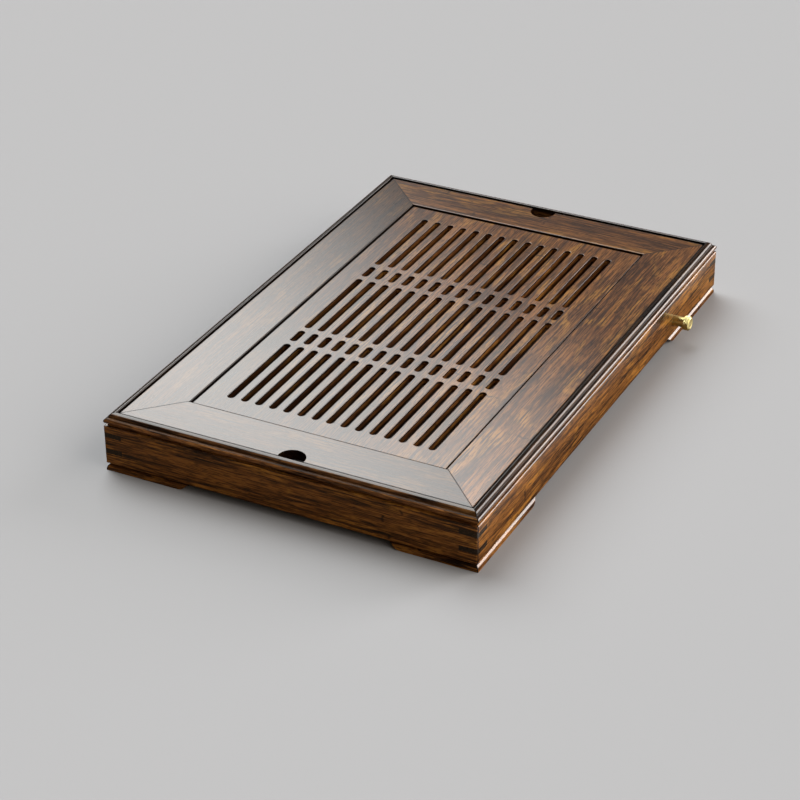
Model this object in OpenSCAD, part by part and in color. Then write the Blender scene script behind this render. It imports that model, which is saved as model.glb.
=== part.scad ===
// Tea tray: a box with splined mitres, a moulded rim, corner feet, a lift-out slotted lid and a capped drain.
// X runs along the long sides, Y from the drain side to the back, Z up. The feet stand on Z = 0.

/* [Tray] */
// Length over the walls
tray_len = 436; // [400:1:500]
// Width over the walls
tray_w = 288; // [270:1:340]

/* [Walls] */
// Thickness of the walls
wall_t = 14; // [13:0.5:18]
// Height of the walls, from the feet to the rim
wall_h = 30.7; // [29:0.1:40]
// Radius on the upper outer edge of the walls
wall_edge_r = 1; // [0.6:0.1:1.5]
// Radius on the lower outer edge of the walls
wall_foot_r = 2; // [1:0.1:3]
// Radius on the upright corners of the walls
wall_corner_r = 1.5; // [0.5:0.1:2]

/* [Corner splines] */
// Thickness of a spline
spline_t = 3.9; // [3:0.1:6]
// Length of a spline along each wall
spline_len = 14; // [8:0.5:18]
// Number of splines at a corner
spline_count = 2; // [1:1:2]
// Depth of the first spline's middle below the top of the wall
spline_first = 7; // [6:0.1:8]
// Distance from spline to spline
spline_pitch = 12.8; // [10:0.1:15]

/* [Rim] */
// Height of the rim moulding
rim_h = 8.8; // [8:0.1:11]
// Distance of the rim's top from the wall's outer face
rim_inset = 4; // [3.5:0.1:5]
// Width of the rim's top
rim_flat_w = 3; // [2.4:0.1:5]
// Width of the rounded outer part of the rim's top
crown_w = 1.7; // [1:0.1:2]
// Radius of the rounded outer part of the rim's top
crown_r = 3.4; // [2.4:0.1:5]
// Radius on the inner edge of the rim's top
rim_arris_r = 0.5; // [0.2:0.1:0.6]
// Depth of the small step below the rim's top
quirk_h = 1.9; // [1.5:0.1:2.2]
// Width of the small step
quirk_w = 0.4; // [0.2:0.1:0.6]
// Radius of the bead
bead_r = 2; // [1.5:0.1:2.2]
// Height of the groove below the bead
groove_h = 1.4; // [1:0.1:2]
// Depth of the groove below the bead, from the wall's outer face
groove_d = 2.2; // [1.6:0.1:2.6]

/* [Feet] */
// Height of the feet
foot_h = 5.5; // [4:0.1:10]
// Length of a foot along a long side
foot_long = 98; // [70:1:130]
// Length of a foot along a short side
foot_short = 69; // [50:1:100]
// Length of the curved end of a foot
ogee_len = 12; // [8:0.5:20]
// Height of the blunt tip of a foot
foot_tip = 0.6; // [0.4:0.1:1]
// Radius on the upper outer edge of a foot
foot_edge_r = 2.2; // [1:0.1:2.7]

/* [Base board] */
// Thickness of the base board
board_t = 6; // [5:0.5:7]
// Depth of the groove that holds the base board
board_groove_d = 4; // [3:0.5:6]
// Clearance round the edge of the base board
board_play = 0.3; // [0.1:0.1:0.5]

/* [Lid frame] */
// Width of the frame members
member_w = 36; // [32:0.1:44]
// Distance of the lid's top below the rim
lid_drop = 1.2; // [0.6:0.1:2]
// Gap between the lid and the rim on each side
lid_play = 1.2; // [0.3:0.1:1.5]
// Clearance between the lid and the walls that it rests on
seat_gap = 0.1; // [0:0.05:0.2]
// Radius on the edges of the frame
arris_r = 0.8; // [0.5:0.1:1]
// Radius of the lid's corners
lid_corner_r = 2.5; // [1:0.5:5]
// Radius of the finger notches
notch_r = 10; // [8:0.5:14]
// Distance of a notch's centre from the edge of the lid
notch_in = 2.5; // [0:0.5:5]

/* [Corner keys] */
// Length of a key across its mitre
key_len = 24; // [16:1:28]
// Width of a key along its mitre
key_w = 14; // [10:1:18]
// Thickness of a key
key_t = 2.4; // [2:0.1:3]
// Clearance round a key in its pocket
key_play = 0.2; // [0.1:0.1:0.4]

/* [Slotted panel] */
// Distance of the panel's top below the frame's top
panel_drop = 1.2; // [0.6:0.1:1.6]
// Thickness of the panel
panel_t = 6; // [5:0.1:6.2]
// Width of the open line between the panel and the frame
reveal_w = 1.4; // [0.8:0.1:2]
// Thickness of the panel's tongue
tongue_t = 2.6; // [2:0.1:3]
// Depth of the frame's groove for the tongue
tongue_groove_d = 5; // [4:0.5:6]
// Clearance at the end of the tongue
tongue_play = 0.5; // [0.3:0.1:1]
// Depth of the tongue's top below the panel's top
tongue_down = 1.8; // [1.5:0.1:2.2]
// Number of slots across the panel
slot_cols = 15; // [9:1:17]
// Width of a slot
slot_w = 5.4; // [4.5:0.1:6.5]
// Length of the short slots
slot_short = 16.4; // [12:0.1:24]
// Wood left between the slots of a column
slot_web = 5.4; // [4:0.1:8]
// Distance of the slots from the short edges of the opening
slot_end_margin = 18.5; // [12:0.5:30]
// Distance of the outer slots' middle from the long edges of the opening
slot_side_margin = 21; // [16:0.2:30]

/* [Drain] */
// Place of the drain along the front wall, from the middle
drain_x = 130; // [-120:1:140]
// Height of the drain's axis above the feet
drain_up = 12.2; // [11.5:0.1:18]
// Outer diameter of the spigot
spigot_d = 8; // [7:0.1:10]
// Diameter of the spigot's bore
spigot_bore_d = 5; // [4:0.1:5.4]
// Length of the spigot's bare neck outside the wall
neck_len = 8.2; // [5:0.1:16]
// Diameter of the spigot's threaded end
thread_d = 7; // [6.4:0.1:7]
// Length of the spigot's threaded end
thread_len = 3.4; // [2.5:0.1:8]
// Diameter of the spigot's flange inside the tray
flange_d = 12; // [10:0.5:15]
// Thickness of the flange
flange_t = 1.5; // [1:0.1:2.5]
// Thickness of the washer behind the flange
seal_t = 1; // [0.6:0.1:2]
// Clearance of the flange in the floor's pocket
pocket_play = 0.6; // [0.3:0.1:1.5]
// Clearance of the spigot in the wall
spigot_play = 0.1; // [0.05:0.05:0.3]

/* [Drain cap] */
// Diameter of the cap
cap_d = 11; // [10:0.1:15]
// Thickness of the cap's end
cap_end_t = 1; // [0.8:0.1:2]
// Thickness of the cap's gasket
gasket_t = 0.7; // [0.5:0.1:1.5]
// Running clearance of the cap, all round
cap_play = 0.05; // [0.03:0.01:0.1]
// Number of grip flutes round the cap
flute_count = 20; // [12:1:24]
// Radius of a grip flute
flute_r = 0.4; // [0.2:0.1:0.6]
// Radius on the cap's outer edge
cap_edge_r = 0.8; // [0.4:0.1:1]

/* [Hidden] */
$fn = 48;
half_len = tray_len / 2;
half_w = tray_w / 2;
wall_top = foot_h + wall_h;
rim_top = wall_top + rim_h;
cut = 1;

// Places and sizes of the lid
lid_edge = rim_inset + rim_flat_w + lid_play;
lid_bottom = wall_top + seat_gap;
lid_top = rim_top - lid_drop;
lid_t = lid_top - lid_bottom;
lid_len = tray_len - 2 * lid_edge;
lid_w = tray_w - 2 * lid_edge;
open_len = lid_len - 2 * member_w;
open_w = lid_w - 2 * member_w;
panel_top = lid_top - panel_drop;
tongue_top = panel_top - tongue_down;
tongue_bottom = tongue_top - tongue_t;

// Slots of one column, from end to end
slot_long = (open_len - 2 * slot_end_margin - 2 * slot_short - 4 * slot_web) / 3;
slot_pitch = (open_w - 2 * slot_side_margin) / (slot_cols - 1);
slot_lengths = [slot_long, slot_short, slot_long, slot_short, slot_long];

// The floor lies level with the bottom of the spigot's bore
drain_z = foot_h + drain_up;
floor_z = drain_z - spigot_bore_d / 2;
board_z = floor_z - board_t;
board_len = tray_len - 2 * wall_t + 2 * (board_groove_d - board_play);
board_w = tray_w - 2 * wall_t + 2 * (board_groove_d - board_play);

// The drain, measured outward from the wall's outer face
cap_bore_d = thread_d + 2 * cap_play;
cap_len = thread_len + gasket_t + cap_end_t + 2 * cap_play;
drain_reach = neck_len + cap_play + cap_len;
shift_y = drain_reach / 2;

// Radius of each half of a foot's S-shaped end
ogee_rise = foot_h - foot_tip;
ogee_r = (ogee_len * ogee_len + ogee_rise * ogee_rise) / (4 * ogee_rise);

walnut = [0.33, 0.19, 0.11];
walnut_dark = [0.24, 0.14, 0.09];
walnut_light = [0.4, 0.25, 0.15];
walnut_black = [0.12, 0.08, 0.06];
brass = [0.74, 0.68, 0.4];
rubber = [0.12, 0.12, 0.12];

// Sides are numbered 0 front, 1 right, 2 back and 3 left
function side_len(side, long, short) = side % 2 == 0 ? long : short;

// Height of the middle of spline i
function spline_z(i) = wall_top - spline_first - i * spline_pitch;

// Start of slot i in a column, from the first slot's start
function slot_start(i) = i == 0 ? 0 : slot_start(i - 1) + slot_lengths[i - 1] + slot_web;

// The tray's own middle line is shifted so that the whole object, drain included, is centred
module placed() {
    translate([0, shift_y, 0])
        children();
}

// Turns a piece drawn at the front round to its side
module on_side(side) {
    placed()
        rotate([0, 0, 90 * side])
            children();
}

// Extrudes a section along a side: its first axis runs inward from the outer edge, its second up
module along(len, half) {
    translate([-len / 2, -half, 0])
        rotate([90, 0, 90])
            linear_extrude(len)
                children();
}

// Plan of a strip with a mitre at both ends
module mitre_plan(len, half, depth) {
    polygon([
        [-len / 2, -half],
        [len / 2, -half],
        [len / 2 - depth, -half + depth],
        [-len / 2 + depth, -half + depth]
    ]);
}

// A strip with its section extruded between two mitres
module mitred_strip(len, half, depth, height) {
    intersection() {
        along(len, half)
            children();
        linear_extrude(height)
            mitre_plan(len, half, depth);
    }
}

// Plan of a rectangle with rounded corners
module rounded_plan(size_x, size_y, r) {
    square([size_x - 2 * r, size_y], center = true);
    square([size_x, size_y - 2 * r], center = true);
    for (x = [-1, 1], y = [-1, 1])
        translate([x * (size_x / 2 - r), y * (size_y / 2 - r)])
            circle(r);
}

// Rectangle with its upper first corner rounded
module edge_rounded(size_s, size_z, r) {
    square([size_s, size_z - r]);
    translate([r, 0])
        square([size_s - r, size_z]);
    translate([r, size_z - r])
        circle(r);
}

// Rectangle with both upper corners rounded
module top_rounded(size_s, size_z, r) {
    square([size_s, size_z - r]);
    translate([r, 0])
        square([size_s - 2 * r, size_z]);
    for (s = [r, size_s - r])
        translate([s, size_z - r])
            circle(r);
}

// Space of the base board's groove round the inside of the walls
module board_slot() {
    slot_x = tray_len - 2 * wall_t + 2 * board_groove_d;
    slot_y = tray_w - 2 * wall_t + 2 * board_groove_d;
    translate([-slot_x / 2, -slot_y / 2, board_z])
        cube([slot_x, slot_y, board_t]);
}

// Bore of the spigot through the front wall
module spigot_hole() {
    translate([drain_x, -half_w + wall_t + cut, drain_z])
        rotate([90, 0, 0])
            cylinder(h = wall_t + 2 * cut, d = spigot_d + 2 * spigot_play);
}

// Triangular splines across the mitres of the walls
module splines() {
    for (x = [-1, 1], y = [-1, 1], i = [0 : spline_count - 1])
        translate([x * half_len, y * half_w, spline_z(i) - spline_t / 2])
            linear_extrude(spline_t)
                polygon([[0, 0], [-x * spline_len, 0], [0, -y * spline_len]]);
}

// Section of a wall, with both of its outer edges rounded
module wall_section() {
    translate([0, wall_foot_r])
        square([wall_t, wall_h - wall_foot_r - wall_edge_r]);
    translate([wall_edge_r, wall_foot_r])
        square([wall_t - wall_edge_r, wall_h - wall_foot_r]);
    translate([wall_foot_r, 0])
        square([wall_t - wall_foot_r, wall_h - wall_edge_r]);
    translate([wall_edge_r, wall_h - wall_edge_r])
        circle(wall_edge_r);
    translate([wall_foot_r, wall_foot_r])
        circle(wall_foot_r);
}

// One wall between its mitres, with its groove for the base board and its slots for the splines
module wall_body(side) {
    len = side_len(side, tray_len, tray_w);
    half = side_len(side, half_w, half_len);
    placed()
        difference() {
            rotate([0, 0, 90 * side])
                intersection() {
                    translate([0, 0, foot_h])
                        mitred_strip(len, half, wall_t, wall_h)
                            wall_section();
                    linear_extrude(wall_top)
                        rounded_plan(len, 2 * half, wall_corner_r);
                }
            board_slot();
            splines();
        }
}

module wall(side) {
    color(walnut)
        wall_body(side);
}

module wall_front() {
    color(walnut)
        difference() {
            wall_body(0);
            placed()
                spigot_hole();
        }
}

module corner_splines() {
    color(walnut_black)
        placed()
            intersection() {
                splines();
                linear_extrude(wall_top)
                    rounded_plan(tray_len, tray_w, wall_corner_r);
            }
}

// Upper part of the rim's section: its outer part is crowned, and its inner edge rounded
module rim_crest() {
    crown_s = rim_inset + crown_w;
    inner_s = rim_inset + rim_flat_w - rim_arris_r;
    translate([crown_s, 0])
        square([inner_s - crown_s, rim_h]);
    translate([inner_s, 0])
        square([rim_arris_r, rim_h - rim_arris_r]);
    translate([inner_s, rim_h - rim_arris_r])
        circle(rim_arris_r);
    intersection() {
        translate([rim_inset, 0])
            square([crown_w, rim_h]);
        union() {
            translate([crown_s, rim_h - crown_r])
                circle(crown_r);
            translate([rim_inset, 0])
                square([crown_w, rim_h - crown_r]);
        }
    }
}

// Section of the rim: a crowned top, a small step, a cove, a bead and a groove
module rim_section() {
    rim_w = rim_inset + rim_flat_w;
    cove_r = rim_h - quirk_h - groove_h - 2 * bead_r;
    step_s = rim_inset - quirk_w;
    rim_crest();
    translate([groove_d, 0])
        square([rim_w - groove_d, groove_h + bead_r]);
    translate([bead_r, groove_h + bead_r])
        circle(bead_r);
    difference() {
        translate([bead_r, groove_h + bead_r])
            square([rim_w - bead_r, rim_h - quirk_h - groove_h - bead_r]);
        translate([step_s - cove_r, rim_h - quirk_h])
            circle(cove_r);
        translate([step_s - 2 * cove_r, rim_h - quirk_h - cove_r])
            square([cove_r, cove_r + cut]);
    }
}

module rim(side) {
    color(walnut_dark)
        on_side(side)
            translate([0, 0, wall_top])
                mitred_strip(
                    side_len(side, tray_len, tray_w),
                    side_len(side, half_w, half_len),
                    rim_inset + rim_flat_w,
                    rim_h
                )
                    rim_section();
}

// Section of a foot, with its upper outer edge rounded
module foot_section() {
    edge_rounded(wall_t, foot_h, foot_edge_r);
}

// Outline of a foot seen from the side, from its corner to its S-shaped end
module foot_outline(len) {
    flat = len - ogee_len;
    mid = len - ogee_len / 2;
    square([flat, foot_h]);
    intersection() {
        translate([flat, 0])
            square([ogee_len / 2, foot_h]);
        translate([flat, ogee_r])
            circle(ogee_r, $fn = 96);
    }
    difference() {
        translate([mid, 0])
            square([ogee_len / 2, foot_h]);
        translate([len, foot_h - foot_tip - ogee_r])
            circle(ogee_r, $fn = 96);
    }
}

// One foot strip: it starts in a mitre at the right-hand end of its side, or at the left if flipped
module foot(side, flipped) {
    len = side_len(side, tray_len, tray_w);
    half = side_len(side, half_w, half_len);
    foot_len = side_len(side, foot_long, foot_short);
    color(walnut)
        on_side(side)
            mirror([flipped ? 1 : 0, 0, 0])
                intersection() {
                    along(len, half)
                        foot_section();
                    translate([0, 0, -cut])
                        linear_extrude(foot_h + 2 * cut)
                            mitre_plan(len, half, wall_t);
                    translate([len / 2, -half - cut, 0])
                        rotate([90, 0, 180])
                            linear_extrude(wall_t + 2 * cut)
                                foot_outline(foot_len);
                }
}

// Pocket in the floor that the spigot's flange and washer hang into
module flange_pocket() {
    pocket_d = flange_d + 2 * pocket_play;
    translate([drain_x, -half_w + wall_t - board_groove_d, drain_z])
        rotate([-90, 0, 0])
            cylinder(h = board_groove_d + seal_t + flange_t + pocket_play, d = pocket_d);
}

module base_board() {
    color(walnut_light)
        placed()
            difference() {
                translate([-board_len / 2, -board_w / 2, board_z])
                    cube([board_len, board_w, board_t]);
                flange_pocket();
            }
}

// Section of a lid member: rounded edges, and a groove for the panel's tongue
module member_section() {
    difference() {
        top_rounded(member_w, lid_t, arris_r);
        translate([member_w - tongue_groove_d, tongue_bottom - lid_bottom])
            square([tongue_groove_d + cut, tongue_t]);
    }
}

// Keys across the mitres, each in the middle of its mitre
module keys(play) {
    for (x = [-1, 1], y = [-1, 1])
        translate([x * (lid_len - member_w) / 2, y * (lid_w - member_w) / 2, tongue_bottom])
            rotate([0, 0, -45 * x * y])
                translate([-key_len / 2 - play, -key_w / 2 - play, 0])
                    cube([key_len + 2 * play, key_w + 2 * play, key_t]);
}

module lid_member(side) {
    len = side_len(side, lid_len, lid_w);
    half = side_len(side, lid_w, lid_len) / 2;
    color(walnut_dark)
        placed()
            difference() {
                intersection() {
                    translate([0, 0, lid_bottom])
                        rotate([0, 0, 90 * side])
                            mitred_strip(len, half, member_w, lid_t)
                                member_section();
                    translate([0, 0, lid_bottom])
                        linear_extrude(lid_t)
                            rounded_plan(lid_len, lid_w, lid_corner_r);
                }
                keys(key_play);
                if (side % 2 == 1)
                    rotate([0, 0, 90 * side])
                        translate([0, -lid_len / 2 + notch_in, lid_bottom - cut])
                            cylinder(h = lid_t + 2 * cut, r = notch_r);
            }
}

// Plan of one slot with round ends, along X from its start
module slot_plan(len) {
    r = slot_w / 2;
    translate([r, -r])
        square([len - 2 * r, slot_w]);
    for (x = [r, len - r])
        translate([x, 0])
            circle(r);
}

module slots() {
    for (col = [0 : slot_cols - 1], i = [0 : len(slot_lengths) - 1])
        translate([
            -open_len / 2 + slot_end_margin + slot_start(i),
            -open_w / 2 + slot_side_margin + col * slot_pitch
        ])
            slot_plan(slot_lengths[i]);
}

module lid_panel() {
    field_len = open_len - 2 * reveal_w;
    field_w = open_w - 2 * reveal_w;
    tongue_len = open_len + 2 * (tongue_groove_d - tongue_play);
    tongue_w = open_w + 2 * (tongue_groove_d - tongue_play);
    color(walnut_light)
        placed() {
            translate([0, 0, panel_top - panel_t])
                linear_extrude(panel_t)
                    difference() {
                        square([field_len, field_w], center = true);
                        slots();
                    }
            translate([0, 0, tongue_bottom])
                linear_extrude(tongue_t)
                    difference() {
                        square([tongue_len, tongue_w], center = true);
                        square([field_len, field_w], center = true);
                    }
        }
}

module lid_corner_keys() {
    color(walnut_light)
        placed()
            keys(0);
}

// Puts a turned piece on the drain's axis: its local Z runs outward from the wall's outer face
module on_drain() {
    placed()
        translate([drain_x, -half_w, drain_z])
            rotate([90, 0, 0])
                children();
}

module drain_spigot() {
    inner_end = -wall_t - seal_t - flange_t;
    outer_end = neck_len + thread_len;
    color(brass)
        on_drain()
            difference() {
                union() {
                    translate([0, 0, inner_end])
                        cylinder(h = flange_t, d = flange_d);
                    translate([0, 0, inner_end])
                        cylinder(h = neck_len - inner_end, d = spigot_d);
                    translate([0, 0, inner_end])
                        cylinder(h = outer_end - inner_end, d = thread_d);
                }
                translate([0, 0, inner_end - cut])
                    cylinder(h = outer_end - inner_end + 2 * cut, d = spigot_bore_d);
            }
}

module spigot_washer() {
    color(rubber)
        on_drain()
            translate([0, 0, -wall_t - seal_t])
                difference() {
                    cylinder(h = seal_t, d = flange_d);
                    translate([0, 0, -cut])
                        cylinder(h = seal_t + 2 * cut, d = spigot_d);
                }
}

// Half section of the cap's outside, with its outer edge rounded
module cap_half() {
    square([cap_d / 2, cap_len - cap_edge_r]);
    square([cap_d / 2 - cap_edge_r, cap_len]);
    translate([cap_d / 2 - cap_edge_r, cap_len - cap_edge_r])
        circle(cap_edge_r);
}

module drain_cap() {
    color(brass)
        on_drain()
            translate([0, 0, neck_len + cap_play])
                difference() {
                    rotate_extrude()
                        cap_half();
                    translate([0, 0, -cut])
                        cylinder(h = cap_len - cap_end_t + cut, d = cap_bore_d);
                    for (i = [0 : flute_count - 1])
                        rotate([0, 0, 360 * i / flute_count])
                            translate([cap_d / 2, 0, -cut])
                                cylinder(h = cap_len + 2 * cut, r = flute_r, $fn = 16);
                }
}

module cap_gasket() {
    color(rubber)
        on_drain()
            translate([0, 0, neck_len + thread_len + cap_play])
                cylinder(h = gasket_t, d = thread_d);
}

wall_front();
wall(2);  // wall_back
wall(3);  // wall_left
wall(1);  // wall_right
corner_splines();
rim(0);  // rim_front
rim(2);  // rim_back
rim(3);  // rim_left
rim(1);  // rim_right
foot(0, true);  // foot_front_left
foot(0, false);  // foot_front_right
foot(2, false);  // foot_back_left
foot(2, true);  // foot_back_right
foot(3, false);  // foot_left_front
foot(3, true);  // foot_left_back
foot(1, true);  // foot_right_front
foot(1, false);  // foot_right_back
base_board();
lid_member(0);  // lid_member_front
lid_member(2);  // lid_member_back
lid_member(3);  // lid_member_left
lid_member(1);  // lid_member_right
lid_panel();
lid_corner_keys();
drain_spigot();
spigot_washer();
drain_cap();
cap_gasket();
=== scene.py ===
import math

import bmesh
import bpy
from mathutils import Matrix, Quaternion, Vector


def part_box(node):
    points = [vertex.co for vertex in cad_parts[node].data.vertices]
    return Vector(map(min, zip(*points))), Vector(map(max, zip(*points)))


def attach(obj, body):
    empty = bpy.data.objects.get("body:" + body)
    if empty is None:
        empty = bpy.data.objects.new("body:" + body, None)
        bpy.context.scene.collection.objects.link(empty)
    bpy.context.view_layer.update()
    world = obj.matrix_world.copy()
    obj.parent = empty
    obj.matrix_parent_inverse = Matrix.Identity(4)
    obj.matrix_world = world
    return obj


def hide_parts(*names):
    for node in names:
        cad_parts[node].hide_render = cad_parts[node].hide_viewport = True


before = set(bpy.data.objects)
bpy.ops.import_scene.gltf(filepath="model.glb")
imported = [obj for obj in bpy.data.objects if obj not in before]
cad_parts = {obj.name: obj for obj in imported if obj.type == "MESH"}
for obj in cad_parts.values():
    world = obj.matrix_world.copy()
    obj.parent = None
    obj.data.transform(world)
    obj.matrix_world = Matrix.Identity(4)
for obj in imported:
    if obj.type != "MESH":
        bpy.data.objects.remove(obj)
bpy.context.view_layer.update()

# Sizes that the looks share with the frame, in metres
wall_low, wall_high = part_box("wall_front")
back_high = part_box("wall_back")[1]
lid_low, lid_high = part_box("lid_member_front")
panel_low, panel_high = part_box("lid_panel")
neck_low, neck_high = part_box("drain_spigot")
cap_low, cap_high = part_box("drain_cap")
HALF_LENGTH = wall_high.x
HALF_WIDTH = (back_high.y - wall_low.y) / 2
MIDDLE_Y = (back_high.y + wall_low.y) / 2
FOOT_HEIGHT = wall_low.z
LID_HALF_LENGTH = lid_high.x
LID_HALF_WIDTH = MIDDLE_Y - lid_low.y

SIDES = ("front", "right", "back", "left")


# Node trees
def put(tree, socket, value):
    """Sets a socket's value, or links it where the value is another socket."""
    if isinstance(value, bpy.types.NodeSocket):
        tree.links.new(value, socket)
    else:
        socket.default_value = value


def add(tree, kind, values=None, **settings):
    """A node with its settings and the values of its inputs."""
    made = tree.nodes.new(kind)
    for key, value in settings.items():
        setattr(made, key, value)
    for key, value in (values or {}).items():
        put(tree, made.inputs[key], value)
    return made


def maths(tree, operation, first, second=0.0, third=0.0):
    """The result of one Math node."""
    made = add(tree, "ShaderNodeMath", {0: first, 1: second, 2: third}, operation=operation)
    return made.outputs[0]


def blend(tree, factor, first, second, mode="MIX"):
    """Two colours mixed by a factor."""
    made = add(tree, "ShaderNodeMix", data_type="RGBA", blend_type=mode)
    for number, value in ((0, factor), (6, first), (7, second)):
        put(tree, made.inputs[number], value)
    return made.outputs[2]


def ramp(tree, factor, stops):
    """A colour ramp with (place, colour) stops."""
    made = add(tree, "ShaderNodeValToRGB", {0: factor})
    band = made.color_ramp
    while len(band.elements) < len(stops):
        band.elements.new(1.0)
    for element, (place, colour) in zip(band.elements, stops):
        element.position = place
        element.color = (*colour, 1.0)
    return made.outputs[0]


def smooth_step(tree, value, low, high):
    """0 below low, 1 above high, with a soft change between."""
    made = add(tree, "ShaderNodeMapRange", {0: value, 1: low, 2: high}, interpolation_type="SMOOTHSTEP")
    return made.outputs[0]


def opposite(tree, value):
    """1 less a value."""
    return maths(tree, "SUBTRACT", 1.0, value)


def kept_share(tree, covered, lost):
    """1 where nothing is covered, and less by the share lost where it is."""
    return maths(tree, "MULTIPLY_ADD", covered, -lost, 1.0)


def new_material(name):
    """An empty material, its node tree and its Principled shader."""
    made = bpy.data.materials.new(name)
    made.use_nodes = True
    tree = made.node_tree
    tree.nodes.clear()
    shader = add(tree, "ShaderNodeBsdfPrincipled")
    output = add(tree, "ShaderNodeOutputMaterial", {"Surface": shader.outputs[0]})
    output.is_active_output = True
    return made, tree, shader


def stretched_noise(tree, coords, layer, axis, place=(0, 0, 0)):
    """Noise of one layer: its wavelengths along and across the grain, its detail and its distortion."""
    along, across, detail, distortion = layer
    scale = [1 / across] * 3
    scale[axis] = 1 / along
    mapping = add(tree, "ShaderNodeMapping", {"Vector": coords, "Location": place, "Scale": scale})
    values = {"Vector": mapping.outputs[0], "Scale": 1.0, "Detail": detail, "Distortion": distortion}
    return add(tree, "ShaderNodeTexNoise", values).outputs[0]


# Wood: strips of bamboo laid side by side, stained dark and lacquered
STRIP_WIDTH = 0.021
STRIP_HEIGHT = 0.0155
STRIP_OFFSET = 0.31
LAYER_OFFSET = 0.2
LAYER_STEP = 17.0
STRIP_CONTRAST = 0.06

# Layers of the grain: wavelengths along and across it in metres, detail and distortion
BANDS = (0.120, 0.0080, 2.0, 0.3)
STRANDS = (0.035, 0.0015, 3.0, 0.2)
THREADS = (0.020, 0.0007, 2.0, 0.0)
PORES = (0.007, 0.0007, 1.0, 0.0)
PATCHES = (0.045, 0.0180, 3.0, 0.8)
BAND_SHARE, STRAND_SHARE, THREAD_SHARE = 0.24, 0.38, 0.38
THREAD_RELIEF, PORE_RELIEF = 0.6, 0.4
STRAND_FILM, PORE_FILM = 0.6, 0.4
DARK_TONE, MIDDLE_TONE, LIGHT_TONE = 0.415, 0.50, 0.59
GOLD_PATCH = (0.50, 0.66)
GOLD_STRAND = (0.38, 0.56)
PORE_RANGE = (0.36, 0.50)
PORE_DEPTH = 0.6

# Node marks across the strips
NODE_PITCH = 0.26
NODE_WOBBLE = (0.02, 0.004, 2.0, 0.0)
NODE_BREAKS = (0.05, 0.006, 1.0, 0.0)
NODE_BEND = 0.006
NODE_SPREAD = 7.3
NODE_LINE = (0.001, 0.0065)
NODE_GAPS = (0.42, 0.58)
NODE_STRENGTH = 0.8
NODE_SHADE = 0.5

# Thin lines of the mitres, soft edges of the bands of painted shade and painted light, and the panel's
# painted shade, darker towards its far left corner
MITRE_LINE = 0.00025
MITRE_COLOUR = (0.004, 0.004, 0.006, 1)
MITRE_COAT_LOSS = 0.85
SHADE_BAND_EDGE = 0.0002
SHADE_FADE_ALONG, SHADE_FADE_ACROSS = 0.6, -0.8
SHADE_FADE_RANGE = (-0.17, 0.06)

# Lacquer
WOOD_ROUGHNESS = 0.35
ROUGHNESS_SPREAD = 0.2
WOOD_SPECULAR = 0.1
COAT_ROUGHNESS = 0.07
COAT_IOR = 1.5
GRAIN_BUMP = {"Strength": 0.3, "Distance": 0.00010}
FILM_BUMP = {"Strength": 0.2, "Distance": 0.00005}


def strip_chance(tree, across, upward):
    """A random value from 0 to 1 for each strip, given the place across the strips and up."""
    first = maths(tree, "FLOOR", maths(tree, "MULTIPLY_ADD", across, 1 / STRIP_WIDTH, STRIP_OFFSET))
    second = maths(tree, "FLOOR", maths(tree, "MULTIPLY_ADD", upward, 1 / STRIP_HEIGHT, LAYER_OFFSET))
    number = maths(tree, "MULTIPLY_ADD", second, LAYER_STEP, first)
    noise = add(tree, "ShaderNodeTexWhiteNoise", {"W": number}, noise_dimensions="1D")
    return noise.outputs["Value"]


def bamboo_nodes(tree, coords, along, chance, axis, place):
    """Short dark marks across the grain, one in each strip now and then."""
    wobble = stretched_noise(tree, coords, NODE_WOBBLE, axis, place)
    bent = maths(tree, "MULTIPLY_ADD", wobble, NODE_BEND, along)
    start = maths(tree, "MULTIPLY", chance, NODE_SPREAD)
    turn = maths(tree, "MULTIPLY_ADD", bent, 1 / NODE_PITCH, start)
    part = maths(tree, "ABSOLUTE", maths(tree, "SUBTRACT", maths(tree, "FRACT", turn), 0.5))
    mark = opposite(tree, smooth_step(tree, part, *NODE_LINE))
    broken = smooth_step(tree, stretched_noise(tree, coords, NODE_BREAKS, axis, place), *NODE_GAPS)
    return maths(tree, "MULTIPLY", mark, broken)


def frame_place(tree, x, y, half_length, half_width):
    """Distance in from a frame's outer edge, and 1 on the thin lines of its mitres."""
    from_end = maths(tree, "SUBTRACT", half_length, maths(tree, "ABSOLUTE", x))
    sideways = maths(tree, "ABSOLUTE", maths(tree, "SUBTRACT", y, MIDDLE_Y))
    from_side = maths(tree, "SUBTRACT", half_width, sideways)
    apart = maths(tree, "ABSOLUTE", maths(tree, "SUBTRACT", from_end, from_side))
    line = opposite(tree, smooth_step(tree, apart, MITRE_LINE, 3 * MITRE_LINE))
    return maths(tree, "MINIMUM", from_end, from_side), line


def shade_band_share(tree, inward, height, near, far, low, high):
    """1 between two distances in from the outer edge and between two heights, else 0."""
    share = smooth_step(tree, inward, near, near + SHADE_BAND_EDGE)
    beyond = smooth_step(tree, inward, far, far + SHADE_BAND_EDGE)
    share = maths(tree, "MULTIPLY", share, opposite(tree, beyond))
    share = maths(tree, "MULTIPLY", share, smooth_step(tree, height, low - SHADE_BAND_EDGE, low))
    above = smooth_step(tree, height, high, high + SHADE_BAND_EDGE)
    return maths(tree, "MULTIPLY", share, opposite(tree, above))


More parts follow.
